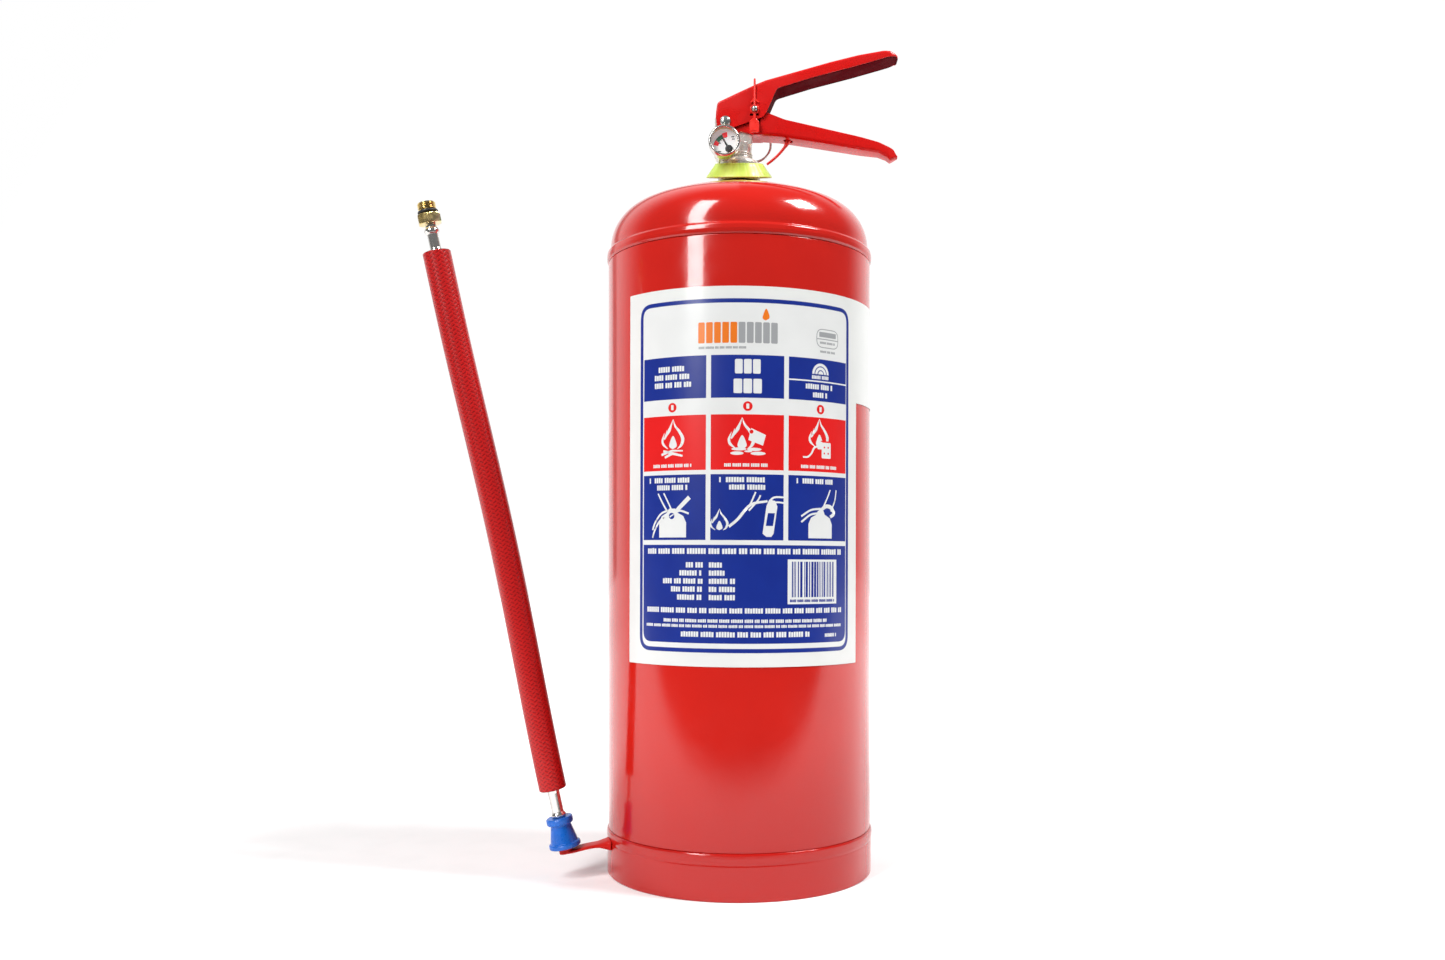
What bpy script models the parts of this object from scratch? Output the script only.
"""Stored-pressure dry powder fire extinguisher with a detached hose standing on its foot holder.

Sizes are in millimetres and MM turns them into metres. The cylinder's axis is worked out at
X = Y = 0 and the whole assembly is moved by AXIS_X at the end, so that the row's origin is
under the middle of the standing part. +Z is up, -Y is the gauge side, +X is the grip side.
"""

import math

import bmesh
import bpy
from mathutils import Vector

MM = 0.001
AXIS_X = 8.7

# Pressure vessel
TUBE_R = 90.0
WALL = 1.5
TUBE_Z = (30.6, 415.4)
LAP_R = 88.2
FOOT_R = 90.8
FOOT_WALL = 2.0
KNUCKLE_R = 30.0
CROWN_R = 180.0
DOME_R = 88.5
DOME_KNUCKLE_Z = 426.0
BASE_KNUCKLE_Z = 50.0
BEAD_Z = (415.7, 422.6)
NECK_HOLE_R = 17.3
BOSS_R = 19.5
BOSS_BORE_R = 15.3
BOSS_TOP_Z = 470.9
POWDER_TOP_Z = 377.0

# Valve
COLUMN_R = 8.7
THREAD_R = 15.0
FLANGE_R = 14.6
HEAD_X = (-16.8, 9.1)
HEAD_Z = (498.0, 517.8)
HEAD_HALF_W = 7.0
OUTLET_Z = 494.0
OUTLET_R = 8.0
OUTLET_Y = 21.0
OUTLET_BORE_R = 6.2
SEAT_Z = 484.0
STEM_R = 3.0
STEM_TIP_Z = 528.6
DIP_R = 6.0
DIP_END_Z = 22.0

# Lever, handle, pins
HINGE = (-9.5, 0.0, 513.3)
LEVER_HALF_W = 10.75
HANDLE_HALF_W = 8.75
SHEET = 1.5
RIVET_R = 2.5
HANDLE_PIN = (-6.0, 505.8)
HANDLE_PIN_R = 1.7
PIN_XZ = (10.5, 521.1)
PIN_R = 2.1
PIN_TIP_Y = -14.6
PIN_EYE_Y = 26.0
RING_R = 12.0
RING_WIRE_R = 0.9

# Pressure gauge
GAUGE = (-9.95, 0.0, 494.6)
GAUGE_R = 11.5
GLASS_R = 9.7
HUB = (-6.85, -22.6, 490.3)
NEEDLE_DEG = 122.0
NEEDLE_LEN = 10.0

# Label
LABEL_R = 90.2
LABEL_T = 0.25
LABEL_DEG = (-51.2, 57.8)
LABEL_Z = (146.2, 382.8)
BAND_DEG = 105.0
BAND_Z = 315.7

# Hose on its holder
HOSE_BASE = (-115.8, -33.2, 21.8)
HOSE_DIR = Vector((-0.2025, -0.050, 0.978)).normalized()
HOSE_R = 9.0
HOSE_SPAN = (39.5, 400.0)
FITTING_AT = 418.0
HEX_CORNER_R = 8.25
HOLDER_DEG = 16.0


# ---------------------------------------------------------------- scene and helpers

def clear_scene():
    """Remove whatever objects the scene holds."""
    for item in list(bpy.data.objects):
        bpy.data.objects.remove(item, do_unlink=True)


def collection(name, cutters=False):
    """Make a collection; a cutters' collection never renders."""
    group = bpy.data.collections.new(name)
    bpy.context.scene.collection.children.link(group)
    group.hide_render = cutters
    return group


def paint(name, colour, rough, metal=0.0):
    """Make a plain Principled material."""
    mat = bpy.data.materials.new(name)
    mat.use_nodes = True
    shader = mat.node_tree.nodes["Principled BSDF"]
    shader.inputs["Base Color"].default_value = (*colour, 1.0)
    shader.inputs["Roughness"].default_value = rough
    shader.inputs["Metallic"].default_value = metal
    return mat


def new_object(name, verts, edges, faces, origin, mat, group):
    """Link a mesh object whose points are given in millimetres about its origin."""
    mesh = bpy.data.meshes.new(name)
    mesh.from_pydata([tuple(MM * c for c in v) for v in verts], edges, faces)
    mesh.update()
    item = bpy.data.objects.new(name, mesh)
    item.location = [MM * c for c in origin]
    if mat is not None:
        mesh.materials.append(mat)
    group.objects.link(item)
    return item


def smooth(item):
    """Shade every face smooth."""
    for face in item.data.polygons:
        face.use_smooth = True
    return item


def lathe(name, profile, steps, mat, group, origin=(0.0, 0.0, 0.0), axis=(0.0, 0.0, 1.0)):
    """Turn a profile of (radius, height) about an axis through origin.

    The profile runs down the outer side first. One that starts and ends off the axis is a
    closed ring; one whose ends are on the axis is a solid.
    """
    solid = profile[0][0] == 0.0 and profile[-1][0] == 0.0
    verts = [(r, 0.0, z) for r, z in profile]
    edges = [(i, i + 1) for i in range(len(verts) - 1)]
    if not solid:
        edges.append((len(verts) - 1, 0))
    item = new_object(name, verts, edges, [], origin, mat, group)
    turn = item.modifiers.new("turn", "SCREW")
    turn.axis = "Z"
    turn.angle = math.tau
    turn.screw_offset = 0.0
    turn.steps = steps
    turn.render_steps = steps
    turn.use_merge_vertices = True
    turn.merge_threshold = 0.00001
    turn.use_smooth_shade = True
    item.rotation_mode = "QUATERNION"
    item.rotation_quaternion = Vector(axis).to_track_quat("Z", "Y")
    return item


def fillet(corners, parts=3):
    """Round the corners of a closed outline given as (x, z, radius)."""
    out = []
    count = len(corners)
    for i, (x, z, r) in enumerate(corners):
        here = Vector((x, z))
        before = Vector(corners[i - 1][:2]) - here
        after = Vector(corners[(i + 1) % count][:2]) - here
        if r <= 0.0:
            out.append((x, z))
            continue
        half = before.angle(after) / 2.0
        run = min(r / math.tan(half), 0.48 * before.length, 0.48 * after.length)
        start = here + before.normalized() * run
        end = here + after.normalized() * run
        for k in range(parts + 1):
            t = k / parts
            point = (1 - t) ** 2 * start + 2 * t * (1 - t) * here + t ** 2 * end
            out.append((point.x, point.y))
    return out


def offset_chain(chain, distance):
    """Shift an open chain of (x, z) points sideways, to its left for a positive distance."""
    out = []
    for i, point in enumerate(chain):
        a = Vector(chain[max(i - 1, 0)])
        b = Vector(chain[min(i + 1, len(chain) - 1)])
        along = (b - a).normalized()
        out.append((point[0] - distance * along.y, point[1] + distance * along.x))
    return out


def prism(name, outline, y_span, mat, group, origin=(0.0, 0.0, 0.0)):
    """Extrude an outline in the XZ plane between two Y values."""
    ox, oy, oz = origin
    count = len(outline)
    verts = [(x - ox, y - oy, z - oz) for y in y_span for x, z in outline]
    faces = [list(range(count)), list(range(count, 2 * count))]
    for i in range(count):
        j = (i + 1) % count
        faces.append([i, j, count + j, count + i])
    item = new_object(name, verts, [], faces, origin, mat, group)
    work = bmesh.new()
    work.from_mesh(item.data)
    bmesh.ops.recalc_face_normals(work, faces=work.faces)
    work.to_mesh(item.data)
    work.free()
    return item


def box(name, low, high, mat, group):
    """Make an upright box between two corners."""
    outline = [(low[0], low[2]), (high[0], low[2]), (high[0], high[2]), (low[0], high[2])]
    return prism(name, outline, (low[1], high[1]), mat, group)


def rod(name, start, end, radius, steps, mat, group):
    """Make a plain cylinder between two points."""
    along = Vector(end) - Vector(start)
    profile = [(0.0, along.length), (radius, along.length), (radius, 0.0), (0.0, 0.0)]
    return lathe(name, profile, steps, mat, group, start, along)


def ring(name, centre, radius, wire, steps, parts, mat, group, axis=(0.0, 0.0, 1.0)):
    """Make a torus by turning a circle."""
    profile = []
    for k in range(parts):
        angle = math.pi / 2 - math.tau * k / parts
        profile.append((radius + wire * math.cos(angle), wire * math.sin(angle)))
    return lathe(name, profile, steps, mat, group, centre, axis)


def soften(item, width, segments=2, angle=50.0):
    """Bevel the sharp edges of an object."""
    mod = item.modifiers.new("soften", "BEVEL")
    mod.width = width * MM
    mod.segments = segments
    mod.limit_method = "ANGLE"
    mod.angle_limit = math.radians(angle)
    return item


def combine(item, other, how):
    """Join or cut an object with another, which then stops rendering."""
    mod = item.modifiers.new(how.lower() + "_" + other.name, "BOOLEAN")
    mod.operation = how
    mod.object = other
    mod.solver = "EXACT"
    other.display_type = "WIRE"
    other.hide_render = True
    return item


def wire(name, points, radius, mat, group, sides=2, radii=None):
    """Make a capped wire along a chain of points, as a mesh."""
    curve = bpy.data.curves.new(name + "_path", "CURVE")
    curve.dimensions = "3D"
    curve.bevel_depth = radius * MM
    curve.bevel_resolution = sides
    curve.use_fill_caps = True
    spline = curve.splines.new("POLY")
    spline.points.add(len(points) - 1)
    for i, point in enumerate(points):
        spline.points[i].co = (*[MM * c for c in point], 1.0)
        spline.points[i].radius = radii[i] if radii else 1.0
    path = bpy.data.objects.new(name + "_path", curve)
    group.objects.link(path)
    bpy.context.view_layer.update()
    shape = path.evaluated_get(bpy.context.evaluated_depsgraph_get())
    mesh = bpy.data.meshes.new_from_object(shape)
    mesh.name = name
    mesh.materials.clear()
    if mat is not None:
        mesh.materials.append(mat)
    work = bmesh.new()
    work.from_mesh(mesh)
    bmesh.ops.remove_doubles(work, verts=work.verts, dist=0.000001)
    bmesh.ops.recalc_face_normals(work, faces=work.faces)
    work.to_mesh(mesh)
    work.free()
    bpy.data.objects.remove(path, do_unlink=True)
    bpy.data.curves.remove(curve)
    item = bpy.data.objects.new(name, mesh)
    group.objects.link(item)
    return smooth(item)


def arc(centre, radius, start, end, parts):
    """Points on an arc of (r, z), by angles in degrees from +r."""
    out = []
    for k in range(parts + 1):
        angle = math.radians(start + (end - start) * k / parts)
        out.append((centre[0] + radius * math.cos(angle), centre[1] + radius * math.sin(angle)))
    return out


def dish(skirt_r, knuckle_z, knuckle, crown, hole_r, crown_parts, knuckle_parts):
    """Outer line of a dished end, from its hole or axis out and down to the skirt."""
    inset = skirt_r - knuckle
    drop = math.sqrt((crown - knuckle) ** 2 - inset ** 2)
    crown_z = knuckle_z - drop
    meet = math.degrees(math.atan2(drop, inset))
    start = math.degrees(math.acos(hole_r / crown))
    line = arc((0.0, crown_z), crown, start, meet, crown_parts)
    if hole_r == 0.0:
        line[0] = (0.0, line[0][1])
    return line + arc((inset, knuckle_z), knuckle, meet, 0.0, knuckle_parts)[1:]


# ---------------------------------------------------------------- pressure vessel

def make_tube(mats, parts):
    """Rolled cylinder wall."""
    low, high = TUBE_Z
    inner = TUBE_R - WALL
    profile = [(inner, high), (TUBE_R - 0.3, high), (TUBE_R, high - 0.3), (TUBE_R, low + 0.3),
               (TUBE_R - 0.3, low), (inner, low)]
    lathe("body_tube", profile, 64, mats["red"], parts)


def make_top_dome(mats, parts):
    """Dished top with its lap bead and the skirt that sits inside the tube."""
    outer = dish(DOME_R, DOME_KNUCKLE_Z, KNUCKLE_R, CROWN_R, NECK_HOLE_R, 4, 6)
    low, high = BEAD_Z
    bead = [(DOME_R, high + 0.6), (DOME_R + 1.7, high), (DOME_R + 2.6, high - 2.2),
            (DOME_R + 2.5, low + 2.0), (DOME_R + 1.5, low)]
    skirt = [(LAP_R, low), (LAP_R, low - 15.0), (LAP_R - WALL, low - 15.0)]
    inner = dish(LAP_R - WALL, DOME_KNUCKLE_Z, KNUCKLE_R - WALL, CROWN_R - WALL, NECK_HOLE_R, 2, 3)
    profile = outer + bead + skirt + inner[::-1]
    lathe("top_dome", profile, 64, mats["red"], parts)


def make_bottom_dome(mats, parts):
    """Dished bottom, bulging down inside the foot ring."""
    outer = dish(LAP_R, 0.0, KNUCKLE_R, CROWN_R, 0.0, 3, 4)
    inner = dish(LAP_R - WALL, 0.0, KNUCKLE_R - WALL, CROWN_R - WALL, 0.0, 2, 3)
    profile = [(r, BASE_KNUCKLE_Z - z) for r, z in inner]
    profile += [(LAP_R - WALL, 62.0), (LAP_R, 62.0)]
    profile += [(r, BASE_KNUCKLE_Z - z) for r, z in outer[::-1]]
    lathe("bottom_dome", profile, 40, mats["red"], parts)


def make_foot_ring(mats, parts):
    """Rolled standing ring with its lap band."""
    r = FOOT_R
    profile = [(LAP_R, 36.0), (LAP_R, 30.3), (r - 0.4, 30.3), (r + 0.3, 29.2), (r + 0.5, 26.8),
               (r + 0.3, 24.2), (r, 23.3), (r, 0.6), (r - 0.6, 0.0), (r - FOOT_WALL, 0.0),
               (r - FOOT_WALL, 24.0), (LAP_R - WALL, 30.3), (LAP_R - WALL, 36.0)]
    lathe("foot_ring", profile, 64, mats["red"], parts)


def make_neck_boss(mats, parts):
    """Threaded neck boss welded in the top."""
    top = BOSS_TOP_Z
    profile = [(BOSS_BORE_R, top), (BOSS_R - 0.8, top), (BOSS_R, top - 0.8), (BOSS_R + 0.6, 467.05),
               (17.0, 467.4), (17.0, 452.0), (BOSS_BORE_R, 452.0)]
    lathe("neck_boss", profile, 36, mats["red"], parts)


def make_powder(mats, parts):
    """Dry powder charge, round the dip tube."""
    inner = dish(LAP_R - WALL - 0.4, 0.0, KNUCKLE_R - WALL, CROWN_R - WALL, DIP_R + 0.6, 2, 3)
    profile = [(DIP_R + 0.6, POWDER_TOP_Z), (LAP_R - WALL - 0.4, POWDER_TOP_Z)]
    profile += [(r, BASE_KNUCKLE_Z + 0.6 - z) for r, z in inner[::-1]]
    lathe("powder_charge", profile, 28, mats["powder"], parts)


def make_label(mats, parts):
    """Printed wrap with its side band."""
    low, high = LABEL_DEG
    columns = [low + (high - low) * k / 26 for k in range(27)]
    columns += [high + (BAND_DEG - high) * k / 11 for k in range(1, 12)]
    rows = [LABEL_Z[0], BAND_Z, LABEL_Z[1]]
    verts = []
    for degrees in columns:
        a = math.radians(degrees)
        verts += [(LABEL_R * math.sin(a), -LABEL_R * math.cos(a), z) for z in rows]
    faces = []
    for c in range(len(columns) - 1):
        for r in range(2):
            if r == 0 and c >= 26:
                continue
            i = 3 * c + r
            faces.append([i, i + 3, i + 4, i + 1])
    item = new_object("label", verts, [], faces, (0.0, 0.0, 0.0), mats["label"], parts)
    work = bmesh.new()
    work.from_mesh(item.data)
    bmesh.ops.delete(work, geom=[v for v in work.verts if not v.link_faces], context="VERTS")
    work.to_mesh(item.data)
    work.free()
    mod = item.modifiers.new("thickness", "SOLIDIFY")
    mod.thickness = LABEL_T * MM
    mod.offset = 1.0
    smooth(item)


# ---------------------------------------------------------------- valve

def make_valve_body(mats, parts, cutters):
    """Valve forging: column, head block, gauge boss and hose outlet, all bored."""
    profile = [(0.0, 501.0), (COLUMN_R, 501.0), (COLUMN_R, 490.2), (9.6, 489.2), (11.6, 488.6),
               (FLANGE_R, 486.4), (FLANGE_R, 471.3), (THREAD_R, 470.6), (THREAD_R, 450.6),
               (THREAD_R - 1.0, 449.6), (0.0, 449.6)]
    body = lathe("valve_body", profile, 32, mats["plated"], parts)
    head = box("valve_head", (HEAD_X[0], -HEAD_HALF_W, HEAD_Z[0]), (HEAD_X[1], HEAD_HALF_W, HEAD_Z[1]),
               mats["plated"], cutters)
    combine(body, soften(head, 1.0), "UNION")
    gx, gz = GAUGE[0], GAUGE[2]
    boss = [(0.0, 6.5), (3.3, 6.5), (3.3, 13.0), (7.5, 13.0), (7.5, -3.7), (0.0, -3.7)]
    combine(body, lathe("gauge_boss", boss, 24, mats["plated"], cutters, (gx, 0, gz), (0, -1, 0)), "UNION")
    combine(body, rod("outlet_boss", (0, 2.0, OUTLET_Z), (0, OUTLET_Y, OUTLET_Z), OUTLET_R, 28,
                      mats["plated"], cutters), "UNION")
    hx, hz = HINGE[0], HINGE[2]
    combine(body, rod("hinge_hole", (hx, -14, hz), (hx, 14, hz), RIVET_R + 0.3, 24, None, cutters),
            "DIFFERENCE")
    px, pz = HANDLE_PIN
    combine(body, rod("handle_pin_hole", (px, -14, pz), (px, 14, pz), HANDLE_PIN_R + 0.3, 20, None, cutters),
            "DIFFERENCE")
    bore = [(0.0, 522.0), (STEM_R + 0.3, 522.0), (STEM_R + 0.3, 503.0), (5.0, 503.0), (5.0, 487.0),
            (4.2, 487.0), (4.2, SEAT_Z), (8.5, SEAT_Z), (8.5, 440.0), (0.0, 440.0)]
    combine(body, lathe("stem_bore", bore, 24, None, cutters), "DIFFERENCE")
    port = [(0.0, 24.0), (OUTLET_BORE_R, 24.0), (OUTLET_BORE_R, 9.0), (3.8, 9.0), (3.8, -1.7), (0.0, -1.7)]
    combine(body, lathe("outlet_hole", port, 24, None, cutters, (0, 3.0, OUTLET_Z), (0, 1, 0)), "DIFFERENCE")


def make_collar(mats, parts, cutters):
    """Coloured service collar round the valve's base, with two lugs cut in its rim."""
    profile = [(15.9, 485.6), (16.7, 485.6), (22.9, 477.3), (23.1, 476.6), (23.1, 471.3), (21.6, 471.3),
               (21.4, 476.4), (15.9, 483.4)]
    item = lathe("service_collar", profile, 48, mats["lime"], parts)
    for side in (-1, 1):
        notch = box(f"collar_notch_{'rl'[side < 0]}", (side * 22.5 - 3.0, -1.6, 470.0),
                    (side * 22.5 + 3.0, 1.6, 473.6), None, cutters)
        combine(item, notch, "DIFFERENCE")


def make_stem(mats, parts):
    """Sliding stem with its seal, O-ring, spring and retainer."""
    tip = arc((0.0, STEM_TIP_Z), STEM_R, 90.0, 0.0, 5)
    tip[0] = (0.0, tip[0][1])
    profile = tip + [(STEM_R, 512.0), (2.3, 512.0), (2.3, 509.6), (STEM_R, 509.6), (STEM_R, 499.0),
                     (2.2, 498.0), (2.2, 480.0), (6.6, 480.0), (6.6, 478.0), (2.2, 478.0),
                     (2.2, 465.0), (0.0, 465.0)]
    lathe("valve_stem", profile, 24, mats["brass"], parts)
    ring("stem_o_ring", (0, 0, 510.8), 2.82, 0.36, 20, 6, mats["rubber"], parts)
    lathe("stem_seal", [(2.5, 483.8), (6.4, 483.8), (6.4, 480.2), (2.5, 480.2)], 28, mats["rubber"], parts)
    turns, per_turn, bottom, top = 4, 12, 459.9, 477.0
    points = []
    for k in range(turns * per_turn + 1):
        t = k / (turns * per_turn)
        a = math.tau * turns * t
        points.append((5.2 * math.cos(a), 5.2 * math.sin(a), bottom + (top - bottom) * t))
    wire("valve_spring", points, 0.6, mats["steel"], parts, sides=1)
    adapter = [(3.4, 458.8), (8.2, 458.8), (8.2, 438.0), (6.3, 438.0), (6.3, 452.0), (3.4, 452.0)]
    lathe("dip_tube_adapter", adapter, 28, mats["brass"], parts)
    low = DIP_END_Z
    lathe("dip_tube", [(4.6, 451.6), (DIP_R, 451.6), (DIP_R, low), (4.6, low)], 28, mats["tube"], parts)
    ring("neck_o_ring", (0, 0, 472.05), 15.9, 0.85, 32, 6, mats["rubber"], parts)


# ---------------------------------------------------------------- lever, handle, pins, seal

def make_lever(mats, parts, cutters):
    """Squeeze lever: pressed channel, open underneath, with round cheeks on the hinge."""
    outline = fillet([
        (-16.0, 517.4, 3), (-15.2, 509.2, 2), (-3.9, 508.9, 3), (16.3, 516.1, 2), (18.7, 519.3, 2),
        (25.9, 535.7, 5), (50.7, 543.3, 0), (79.1, 550.7, 0), (101.8, 557.2, 0), (108.6, 558.9, 0.5),
        (109.8, 559.9, 0.6), (103.7, 562.3, 2), (98.9, 562.3, 2), (81.7, 559.2, 0), (62.4, 554.4, 0),
        (31.7, 545.7, 0), (18.2, 541.9, 3), (12.4, 539.5, 0), (1.9, 534.7, 0), (-14.9, 526.7, 4)])
    width = (-LEVER_HALF_W, LEVER_HALF_W)
    lever = prism("upper_lever", outline, width, mats["red"], parts, HINGE)
    soften(lever, 0.9)
    web = [(-22.0, 523.35), (1.9, 534.7), (12.4, 539.5), (18.2, 541.9), (31.7, 545.7), (62.4, 554.4),
           (81.7, 559.2), (98.9, 562.3), (103.7, 562.3), (106.8, 560.9)]
    under = offset_chain(web, -SHEET) + [(106.4, 540.0), (-22.0, 490.0)]
    inside = LEVER_HALF_W - SHEET
    combine(lever, prism("lever_inside", under, (-inside, inside), None, cutters), "DIFFERENCE")
    hx, hz = HINGE[0], HINGE[2]
    combine(lever, rod("lever_eye", (hx, -14, hz), (hx, 14, hz), RIVET_R + 0.3, 24, None, cutters),
            "DIFFERENCE")
    px, pz = PIN_XZ
    combine(lever, rod("lever_pin_hole", (px, -14, pz), (px, 14, pz), PIN_R + 0.3, 24, None, cutters),
            "DIFFERENCE")
    combine(lever, box("lever_slot", (7.4, -14, 517.2), (13.4, 14, 518.5), None, cutters), "DIFFERENCE")


def make_handle(mats, parts, cutters):
    """Carrying handle: fixed pressed channel, open on top, under the lever."""
    outline = fillet([
        (-15.0, 503.0, 1.5), (-15.0, 517.4, 2), (12.0, 517.6, 0), (19.3, 519.9, 1.5), (31.3, 515.2, 2),
        (62.2, 508.1, 0), (85.0, 503.1, 0), (96.4, 500.2, 3), (106.6, 496.2, 3), (110.6, 491.9, 2),
        (104.3, 488.2, 1.5), (102.1, 490.5, 2), (96.4, 493.4, 3), (85.0, 494.8, 0), (56.5, 499.6, 0),
        (28.0, 503.9, 4), (9.5, 504.9, 3), (-0.1, 507.4, 2), (-2.4, 503.0, 1.5)])
    width = (-HANDLE_HALF_W, HANDLE_HALF_W)
    handle = prism("lower_handle", outline, width, mats["red"], parts, HINGE)
    soften(handle, 0.9)
    web = [(12.0, 504.8), (28.0, 503.9), (56.5, 499.6), (85.0, 494.8), (96.4, 493.4), (102.1, 490.7),
           (106.0, 489.6)]
    over = [(12.0, 495.0)] + offset_chain(web, SHEET) + [(109.0, 492.5), (109.0, 530.0), (-24.0, 530.0),
                                                         (-24.0, 495.0)]
    inside = HANDLE_HALF_W - SHEET
    combine(handle, prism("handle_inside", over, (-inside, inside), None, cutters), "DIFFERENCE")
    hx, hz = HINGE[0], HINGE[2]
    combine(handle, rod("handle_eye", (hx, -14, hz), (hx, 14, hz), RIVET_R + 0.3, 24, None, cutters),
            "DIFFERENCE")
    px, pz = HANDLE_PIN
    combine(handle, rod("handle_pin_eye", (px, -14, pz), (px, 14, pz), HANDLE_PIN_R + 0.3, 20, None,
                        cutters), "DIFFERENCE")
    combine(handle, box("handle_notch", (7.9, -14, 511.8), (14.7, 14, 530.0), None, cutters), "DIFFERENCE")
    combine(handle, rod("tail_hole", (34, 0, 490), (34, 0, 512), 3.4, 24, None, cutters), "DIFFERENCE")


def make_rivet(mats, parts):
    """Hinge rivet with two domed heads, and the handle's hidden pin."""
    half = LEVER_HALF_W + 0.3
    head = arc((0.0, half), 3.7, 90.0, 0.0, 4)
    head = [(r, half + (z - half) * 0.5) for r, z in head]
    head[0] = (0.0, head[0][1])
    profile = head + [(RIVET_R, half), (RIVET_R, -half)] + [(r, -z) for r, z in head[::-1]]
    lathe("lever_rivet", profile, 24, mats["chrome"], parts, HINGE, (0, 1, 0))
    px, pz = HANDLE_PIN
    rod("handle_rivet", (px, -HANDLE_HALF_W, pz), (px, HANDLE_HALF_W, pz), HANDLE_PIN_R, 20,
        mats["chrome"], parts)


def make_safety_pin(mats, parts, cutters):
    """Safety pin with a round nose and an eye for its ring."""
    px, pz = PIN_XZ
    length = PIN_EYE_Y - PIN_TIP_Y
    nose = [(r, z) for r, z in arc((0.0, PIN_R), PIN_R, 0.0, -90.0, 4)]
    nose[-1] = (0.0, 0.0)
    profile = [(0.0, length + 3.4), (2.4, length + 3.4), (3.6, length + 2.2), (3.6, length - 2.2),
               (2.4, length - 3.4), (PIN_R, length - 3.6)] + nose
    pin = lathe("safety_pin", profile, 24, mats["chrome"], parts, (px, PIN_TIP_Y, pz), (0, 1, 0))
    hole = rod("pin_eye_hole", (px - 8, PIN_EYE_Y, pz), (px + 8, PIN_EYE_Y, pz), 1.6, 20, None, cutters)
    combine(pin, hole, "DIFFERENCE")
    item = ring("pull_ring", (0, 0, 0), RING_R, RING_WIRE_R, 36, 8, mats["chrome"], parts, (0, 1, 0))
    item.location = (px * MM, PIN_EYE_Y * MM, (pz - RING_R) * MM)


def make_seal(mats, parts, cutters):
    """Tamper seal: strap over the lever with an eyelet on the pin, barbs and flag."""
    px, pz = PIN_XZ
    y0 = -LEVER_HALF_W - 0.45
    front = (y0 - 1.1, y0)
    outline = [(px - 3.5, 505.0), (px + 3.1, 505.0), (px + 3.1, 512.2), (px + 0.9, 514.8),
               (px + 0.9, 517.4), (px + 3.2, 519.0), (px + 3.6, pz), (px + 3.2, 523.4), (px + 0.9, 524.9),
               (px + 0.9, 525.8), (px + 2.7, 526.4), (px + 0.9, 528.8), (px + 0.9, 542.0),
               (px - 0.6, 542.0), (px - 0.6, 528.8), (px - 2.4, 526.4), (px - 0.7, 525.8),
               (px - 0.9, 524.9), (px - 3.2, 523.4), (px - 3.6, pz), (px - 3.2, 519.0),
               (px - 0.9, 517.4), (px - 0.9, 514.8), (px - 3.5, 512.2)]
    seal = prism("tamper_seal", outline, front, mats["orange"], parts, (px, 0.0, pz))
    hole = rod("seal_eye", (px, -18, pz), (px, -8, pz), PIN_R + 0.35, 24, None, cutters)
    combine(seal, hole, "DIFFERENCE")
    y1 = LEVER_HALF_W + 0.5
    over = [(px + 0.1, y0 - 0.5, 540.6), (px + 0.15, y0 - 0.4, 541.6), (px + 0.15, y0 + 1.0, 542.1),
            (px + 0.15, 0.0, 542.2), (px + 0.15, y1 - 0.6, 542.0), (px + 0.15, y1 + 0.35, 541.2),
            (px + 0.1, y1 + 0.6, 539.0), (px + 0.1, y1 + 0.6, 524.4)]
    combine(seal, wire("seal_strap", over, 0.7, mats["orange"], cutters), "UNION")
    back = prism("seal_back", fillet([(px - 3.6, 516.6, 1), (px + 3.6, 516.6, 1), (px + 3.6, 525.6, 1),
                                      (px - 3.6, 525.6, 1)], 2),
                 (y1 + 0.1, y1 + 1.3), mats["orange"], cutters)
    combine(seal, back, "UNION")
    hole = rod("seal_back_eye", (px, 8, pz), (px, 18, pz), PIN_R + 0.35, 24, None, cutters)
    combine(seal, hole, "DIFFERENCE")
    tail = [(34.0, 0.0, 508.6), (34.0, 0.0, 503.0), (33.6, 0.0, 499.6), (32.2, 0.0, 496.0),
            (29.6, 0.0, 492.4), (26.2, 0.0, 489.4), (22.4, 0.0, 487.2), (19.4, 0.0, 486.2)]
    wire("seal_tail", tail, 1.0, mats["orange"], parts, radii=[2.6, 2.2, 1.7, 1.1, 0.85, 0.8, 0.75, 0.7])


# ---------------------------------------------------------------- gauge

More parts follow.
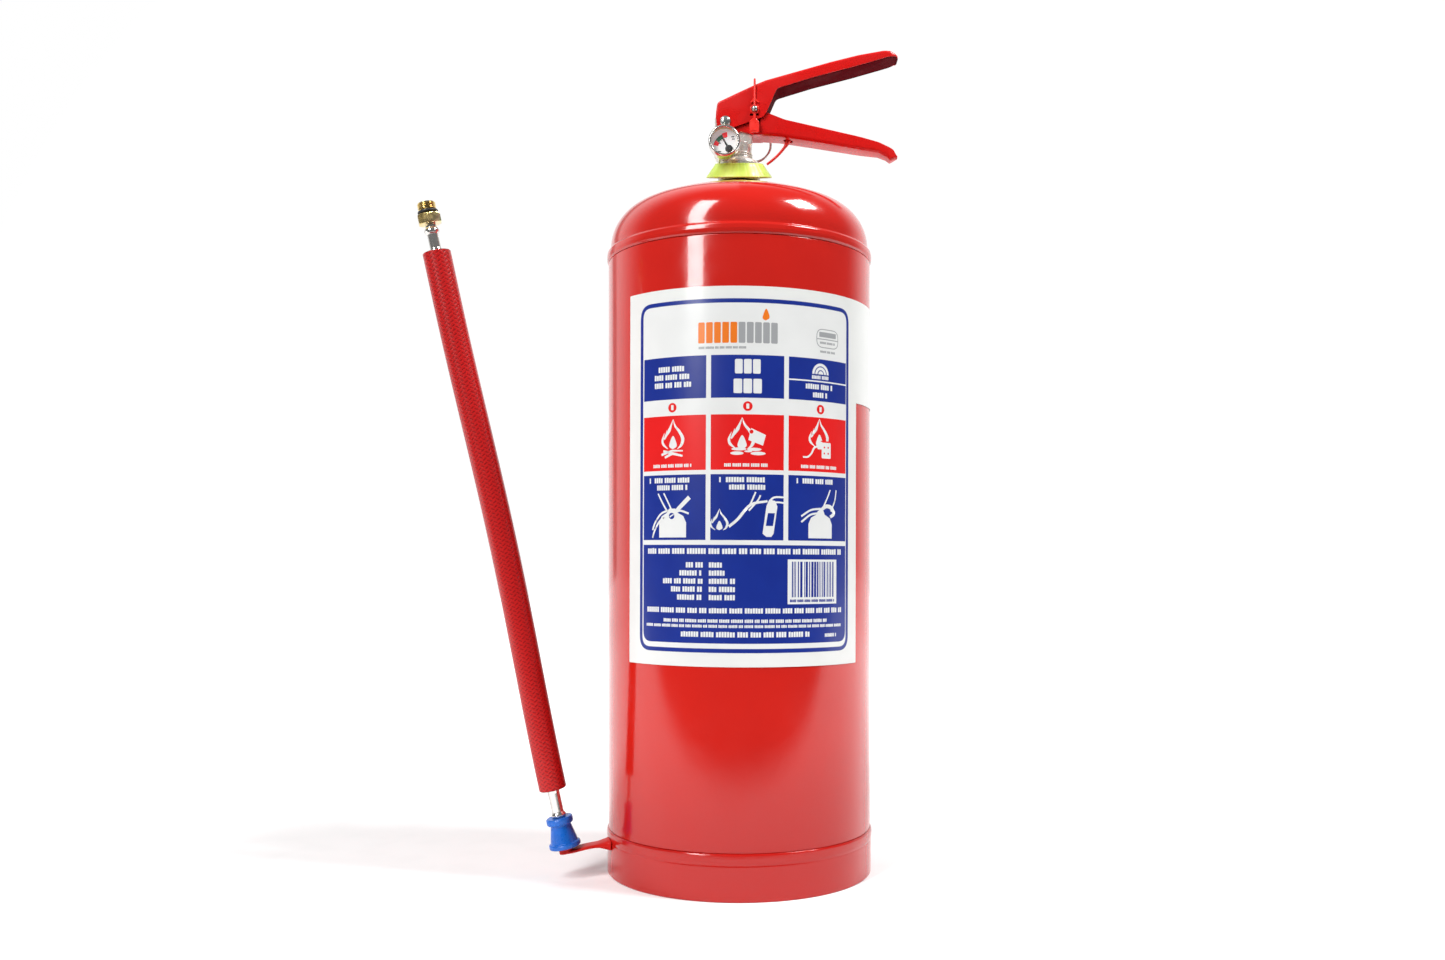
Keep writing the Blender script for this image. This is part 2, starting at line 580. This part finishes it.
def make_gauge(mats, parts, cutters):
    """Pressure gauge: case with stem, bezel, glass, seal, dial, needle, sensing tube."""
    gx, _, gz = GAUGE
    place = {"origin": (gx, 0.0, gz), "axis": (0, -1, 0)}
    case = [(10.0, 24.6), (10.9, 24.6), (10.9, 18.4), (10.0, 17.6), (5.0, 17.6), (5.0, 13.3),
            (3.0, 13.3), (3.0, 7.0), (0.0, 7.0)]
    case = [(0.0, 18.8), (9.9, 18.8), (9.9, 24.6), (10.9, 24.6)] + case[2:]
    lathe("gauge_case", case, 32, mats["chrome"], parts, **place)
    bezel = [(9.35, 27.6), (10.5, 27.7), (11.3, 27.0), (GAUGE_R, 25.8), (GAUGE_R, 21.6), (11.15, 21.4),
             (11.15, 26.3), (9.35, 26.6)]
    lathe("gauge_bezel", bezel, 40, mats["chrome"], parts, **place)
    glass = [(0.0, 26.3), (GLASS_R - 0.4, 26.2), (GLASS_R - 0.4, 25.0), (0.0, 25.0)]
    lathe("gauge_lens", glass, 32, mats["glass"], parts, **place)
    ring("gauge_seal", (gx, -25.6, gz), 10.3, 0.55, 28, 6, mats["rubber"], parts, (0, -1, 0))
    dial = lathe("gauge_dial", [(0.0, 21.9), (9.6, 21.9), (9.6, 21.5), (0.0, 21.5)], 32, mats["dial"],
                 parts, **place)
    spindle = rod("hub_hole", (HUB[0], -19, HUB[2]), (HUB[0], -24, HUB[2]), 0.9, 16, None, cutters)
    combine(dial, spindle, "DIFFERENCE")
    needle = lathe("gauge_needle", [(0.0, 1.0), (2.2, 1.0), (2.6, 0.6), (2.6, 0.2), (0.6, 0.2),
                                    (0.6, -2.4), (0.0, -2.4)], 24, mats["black"], parts, HUB, (0, -1, 0))
    a = math.radians(NEEDLE_DEG)
    along, side = Vector((math.cos(a), math.sin(a))), Vector((-math.sin(a), math.cos(a)))
    centre = Vector((HUB[0], HUB[2]))
    shape = [centre - along * 4.2 + side * 0.9, centre - along * 4.2 - side * 0.9,
             centre - side * 0.75, centre + along * NEEDLE_LEN - side * 0.18,
             centre + along * NEEDLE_LEN + side * 0.18, centre + side * 0.75]
    blade = prism("needle_blade", [tuple(p) for p in shape], (HUB[1] - 0.65, HUB[1] - 0.25), mats["black"],
                  cutters)
    combine(needle, blade, "UNION")
    points = []
    for k in range(23):
        t = math.radians(-60 + 300 * k / 22)
        points.append((gx + 7.2 * math.cos(t), -20.1, gz + 7.2 * math.sin(t)))
    wire("bourdon_tube", points, 0.7, mats["brass"], parts, sides=1)


# ---------------------------------------------------------------- hose and its holder

def along_hose(distance):
    """Point on the hose's axis, at a distance from the nozzle's mouth."""
    return tuple(Vector(HOSE_BASE) + HOSE_DIR * distance)


def make_hose(mats, parts, cutters):
    """Straight hose with its nozzle, tubes, swivelling male fitting and O-ring."""
    low, high = HOSE_SPAN
    place = {"origin": HOSE_BASE, "axis": tuple(HOSE_DIR)}
    r = HOSE_R
    hose = [(4.3, high), (r - 0.4, high), (r, high - 0.4), (r, low + 0.4), (r - 0.4, low), (4.3, low)]
    lathe("hose", hose, 32, mats["hose"], parts, **place)
    nozzle = [(4.0, 20.4), (8.5, 20.4), (8.85, 19.8), (8.85, 16.7), (8.5, 16.1), (6.7, 15.9), (6.9, 14.2),
              (9.0, 4.4), (9.2, 3.4), (10.1, 3.0), (10.5, 2.4), (10.5, 0.6), (10.1, 0.0), (7.2, 0.0),
              (6.9, 9.0), (4.0, 14.0)]
    lathe("nozzle", nozzle, 32, mats["blue"], parts, **place)
    lower = [(2.6, 62.0), (3.9, 62.0), (3.9, 39.0), (3.5, 37.0), (3.5, 23.8), (4.6, 23.2), (5.2, 22.0),
             (4.6, 20.7), (3.6, 20.6), (3.6, 15.4), (2.6, 15.4)]
    lathe("lower_hose_tube", lower, 24, mats["chrome"], parts, **place)
    upper = [(2.6, 419.8), (3.2, 419.8), (3.6, 417.4), (3.6, 415.6), (4.6, 414.9), (5.0, 413.6),
             (4.6, 412.3), (3.6, 411.6), (3.6, 402.4), (3.9, 400.6), (3.9, 376.0), (2.6, 376.0)]
    lathe("upper_hose_tube", upper, 24, mats["chrome"], parts, **place)
    shift = FITTING_AT
    base = along_hose(shift)
    spin = {"origin": base, "axis": tuple(HOSE_DIR)}
    c = HEX_CORNER_R
    nut = lathe("swivel_fitting", [(0.0, 7.0), (c - 1.1, 7.0), (c, 6.4), (c, 0.6), (c - 1.1, 0.0),
                                   (0.0, 0.0)], 6, mats["zinc"], parts, **spin)
    nut.modifiers["turn"].use_smooth_shade = False
    spigot = [(0.0, 14.2), (5.3, 14.2), (6.0, 13.4), (6.0, 9.4), (5.0, 9.2), (5.0, 6.0), (0.0, 6.0)]
    combine(nut, lathe("fitting_spigot", spigot, 28, mats["zinc"], cutters, **spin), "UNION")
    through = [(0.0, 16.0), (3.0, 16.0), (3.0, 3.0), (4.0, 2.2), (4.0, -1.0), (0.0, -1.0)]
    combine(nut, lathe("fitting_bore", through, 24, None, cutters, **spin), "DIFFERENCE")
    ring("fitting_o_ring", along_hose(shift + 8.05), 5.95, 0.75, 24, 6, mats["rubber"], parts,
         tuple(HOSE_DIR))


def make_holder(mats, parts, cutters):
    """Nozzle holder: strip welded on the foot ring, with a peg inside the nozzle."""
    a = math.radians(HOLDER_DEG)
    out = Vector((-math.cos(a), -math.sin(a), 0.0))
    side = Vector((-out.y, out.x, 0.0))
    root_r, end_r = FOOT_R + 0.35, 129.0
    steps = [(root_r, 25.0, 15.0, 9.0), (root_r + 2.0, 24.6, 15.4, 8.2), (root_r + 9.0, 21.6, 18.6, 6.0),
             (root_r + 12.0, 21.0, 19.0, 6.0), (end_r - 3.0, 17.2, 15.2, 6.0), (end_r, 16.9, 14.9, 4.4)]
    verts = []
    for r, top, bottom, half in steps:
        for w, z in ((-half, bottom), (half, bottom), (half, top), (-half, top)):
            # the root end follows the ring's curve
            bow = 0.0 if r > root_r else -0.0
            verts.append(tuple(out * (r + bow) + side * w + Vector((0.0, 0.0, z))))
    faces = [[0, 1, 2, 3], [4 * len(steps) - 4 + k for k in range(4)]]
    for s in range(len(steps) - 1):
        for k in range(4):
            i, j = 4 * s + k, 4 * s + (k + 1) % 4
            faces.append([i, j, j + 4, i + 4])
    holder = new_object("nozzle_holder", verts, [], faces, (0.0, 0.0, 0.0), mats["red"], parts)
    work = bmesh.new()
    work.from_mesh(holder.data)
    bmesh.ops.recalc_face_normals(work, faces=work.faces)
    work.to_mesh(holder.data)
    work.free()
    soften(holder, 0.4, 1)
    peg = [(0.0, 8.0), (3.0, 8.0), (4.4, 6.6), (4.8, -1.0), (4.8, -4.6), (0.0, -4.6)]
    combine(holder, lathe("holder_peg", peg, 24, mats["red"], cutters, HOSE_BASE, tuple(HOSE_DIR)), "UNION")
    rim = rod("foot_ring_clearance", (0, 0, 0), (0, 0, 40), FOOT_R + 0.3 + 0.5, 96, None, cutters)
    combine(holder, rim, "DIFFERENCE")


# ---------------------------------------------------------------- main

def palette():
    """Plain materials, one for each substance."""
    return {
        "red": paint("red_paint", (0.62, 0.01, 0.012), 0.25),
        "label": paint("label_film", (0.85, 0.86, 0.88), 0.4),
        "plated": paint("plated_brass", (0.75, 0.74, 0.72), 0.25, 1.0),
        "chrome": paint("bright_chrome", (0.8, 0.8, 0.8), 0.12, 1.0),
        "brass": paint("plain_brass", (0.7, 0.5, 0.2), 0.3, 1.0),
        "steel": paint("spring_steel", (0.5, 0.5, 0.5), 0.3, 1.0),
        "lime": paint("lime_plastic", (0.62, 0.78, 0.03), 0.4),
        "orange": paint("seal_plastic", (0.85, 0.12, 0.03), 0.4),
        "rubber": paint("black_rubber", (0.02, 0.02, 0.02), 0.7),
        "tube": paint("dip_tube_plastic", (0.8, 0.8, 0.78), 0.5),
        "powder": paint("dry_powder", (0.75, 0.78, 0.85), 0.9),
        "dial": paint("dial_print", (0.8, 0.8, 0.8), 0.4),
        "glass": paint("gauge_glass", (0.9, 0.95, 0.95), 0.05),
        "black": paint("black_paint", (0.015, 0.015, 0.015), 0.4),
        "hose": paint("woven_hose", (0.5, 0.015, 0.01), 0.6),
        "blue": paint("blue_plastic", (0.0, 0.12, 0.6), 0.35),
        "zinc": paint("yellow_zinc", (0.75, 0.6, 0.2), 0.3, 1.0),
    }


def main():
    """Build every piece, then move the assembly so the origin is under its middle."""
    clear_scene()
    parts = collection("fire_extinguisher")
    cutters = collection("cutters", cutters=True)
    mats = palette()
    make_tube(mats, parts)
    make_top_dome(mats, parts)
    make_bottom_dome(mats, parts)
    make_foot_ring(mats, parts)
    make_neck_boss(mats, parts)
    make_powder(mats, parts)
    make_label(mats, parts)
    make_valve_body(mats, parts, cutters)
    make_collar(mats, parts, cutters)
    make_stem(mats, parts)
    make_lever(mats, parts, cutters)
    make_handle(mats, parts, cutters)
    make_rivet(mats, parts)
    make_safety_pin(mats, parts, cutters)
    make_seal(mats, parts, cutters)
    make_gauge(mats, parts, cutters)
    make_hose(mats, parts, cutters)
    make_holder(mats, parts, cutters)
    for group in (parts, cutters):
        for item in group.objects:
            item.location.x += AXIS_X * MM


main()
